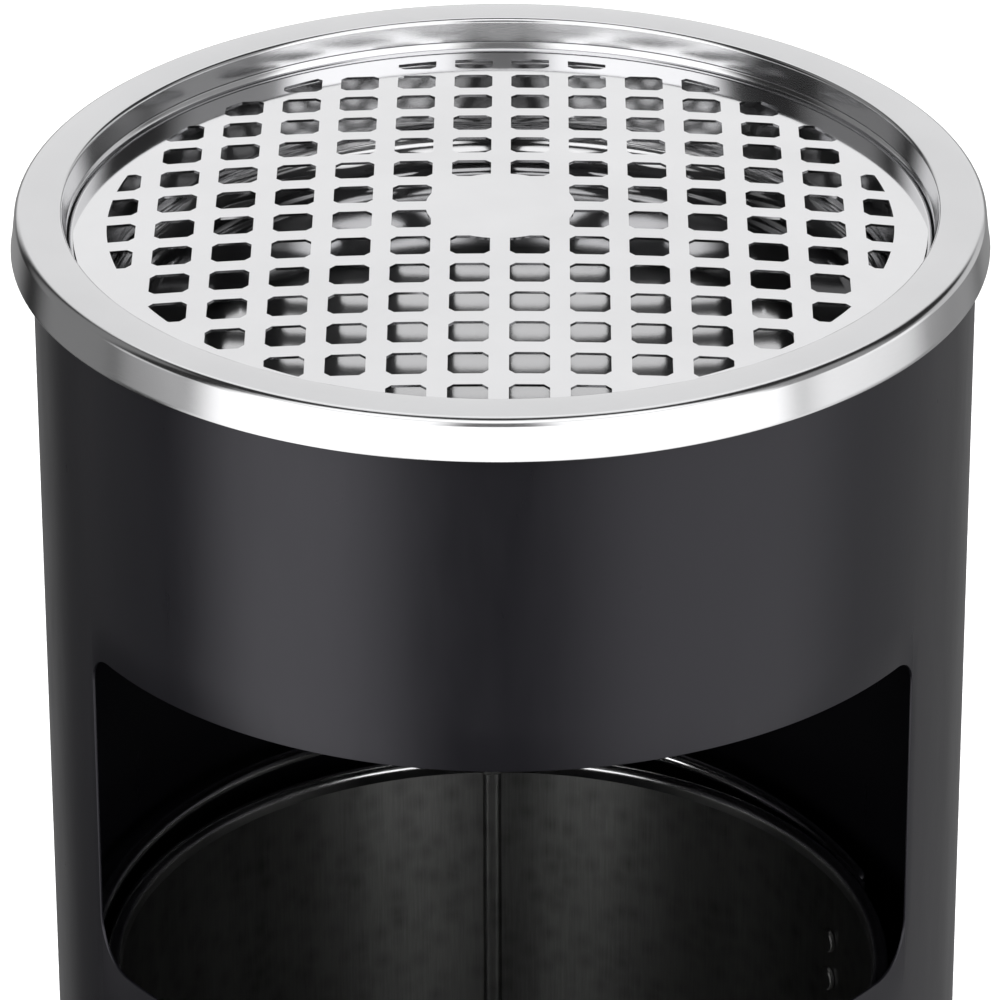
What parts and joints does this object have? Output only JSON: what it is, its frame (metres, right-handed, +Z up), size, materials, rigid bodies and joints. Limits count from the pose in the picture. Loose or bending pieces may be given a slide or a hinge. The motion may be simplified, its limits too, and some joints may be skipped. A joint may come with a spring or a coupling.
{
  "type": "ashtray bin",
  "caption": "Free-standing round litter bin with a wide front window, a lift-out ash tray and grid on top, and an inner bucket with a wire bail.",
  "frame": {"origin": "centre of the base on the floor", "axes": "+Z up along the shell's axis; the window faces -Y; +X to the right of a person facing the window"},
  "size_m": [0.249, 0.249, 0.61],
  "materials": {
    "shell_paint": "satin black powder coat",
    "polished_steel": "polished stainless steel with faint spinning marks",
    "galvanised_steel": "dull galvanised sheet with vertical rolling grain",
    "zinc_wire": "bright zinc-plated wire and pressings",
    "black_plastic": "moulded black plastic, fine matt grain"
  },
  "bodies": {
    "bin": {"outer_shell": "shell_paint", "base_plate": "shell_paint", "base_ring": "black_plastic"},
    "bucket": {"bucket_wall": "galvanised_steel", "bucket_rim_wire": "zinc_wire", "bucket_floor": "galvanised_steel", "bail_ear_left": "zinc_wire", "bail_ear_right": "zinc_wire", "bail_rivet_left_1": "zinc_wire", "bail_rivet_left_2": "zinc_wire", "bail_rivet_right_1": "zinc_wire", "bail_rivet_right_2": "zinc_wire"},
    "bail": {"bail_handle": "zinc_wire"},
    "tray": {"ash_tray": "polished_steel"},
    "grid": {"ash_grid": "polished_steel"}
  },
  "joints": [
    {"name": "bucket_lift", "type": "slide", "parent": "bin", "child": "bucket", "axis": [0, 0, 1], "range_m": [0, 0.62]},
    {"name": "bail_swing", "type": "hinge", "parent": "bucket", "child": "bail", "pos_m": [-0.0025, 0, 0.381], "axis": [0.9063, 0.4226, 0], "range_deg": [0, 165]},
    {"name": "tray_lift", "type": "slide", "parent": "bucket", "child": "tray", "axis": [0, 0, 1], "range_m": [0, 0.1]},
    {"name": "grid_lift", "type": "slide", "parent": "tray", "child": "grid", "axis": [0, 0, 1], "range_m": [0, 0.04]}
  ]
}
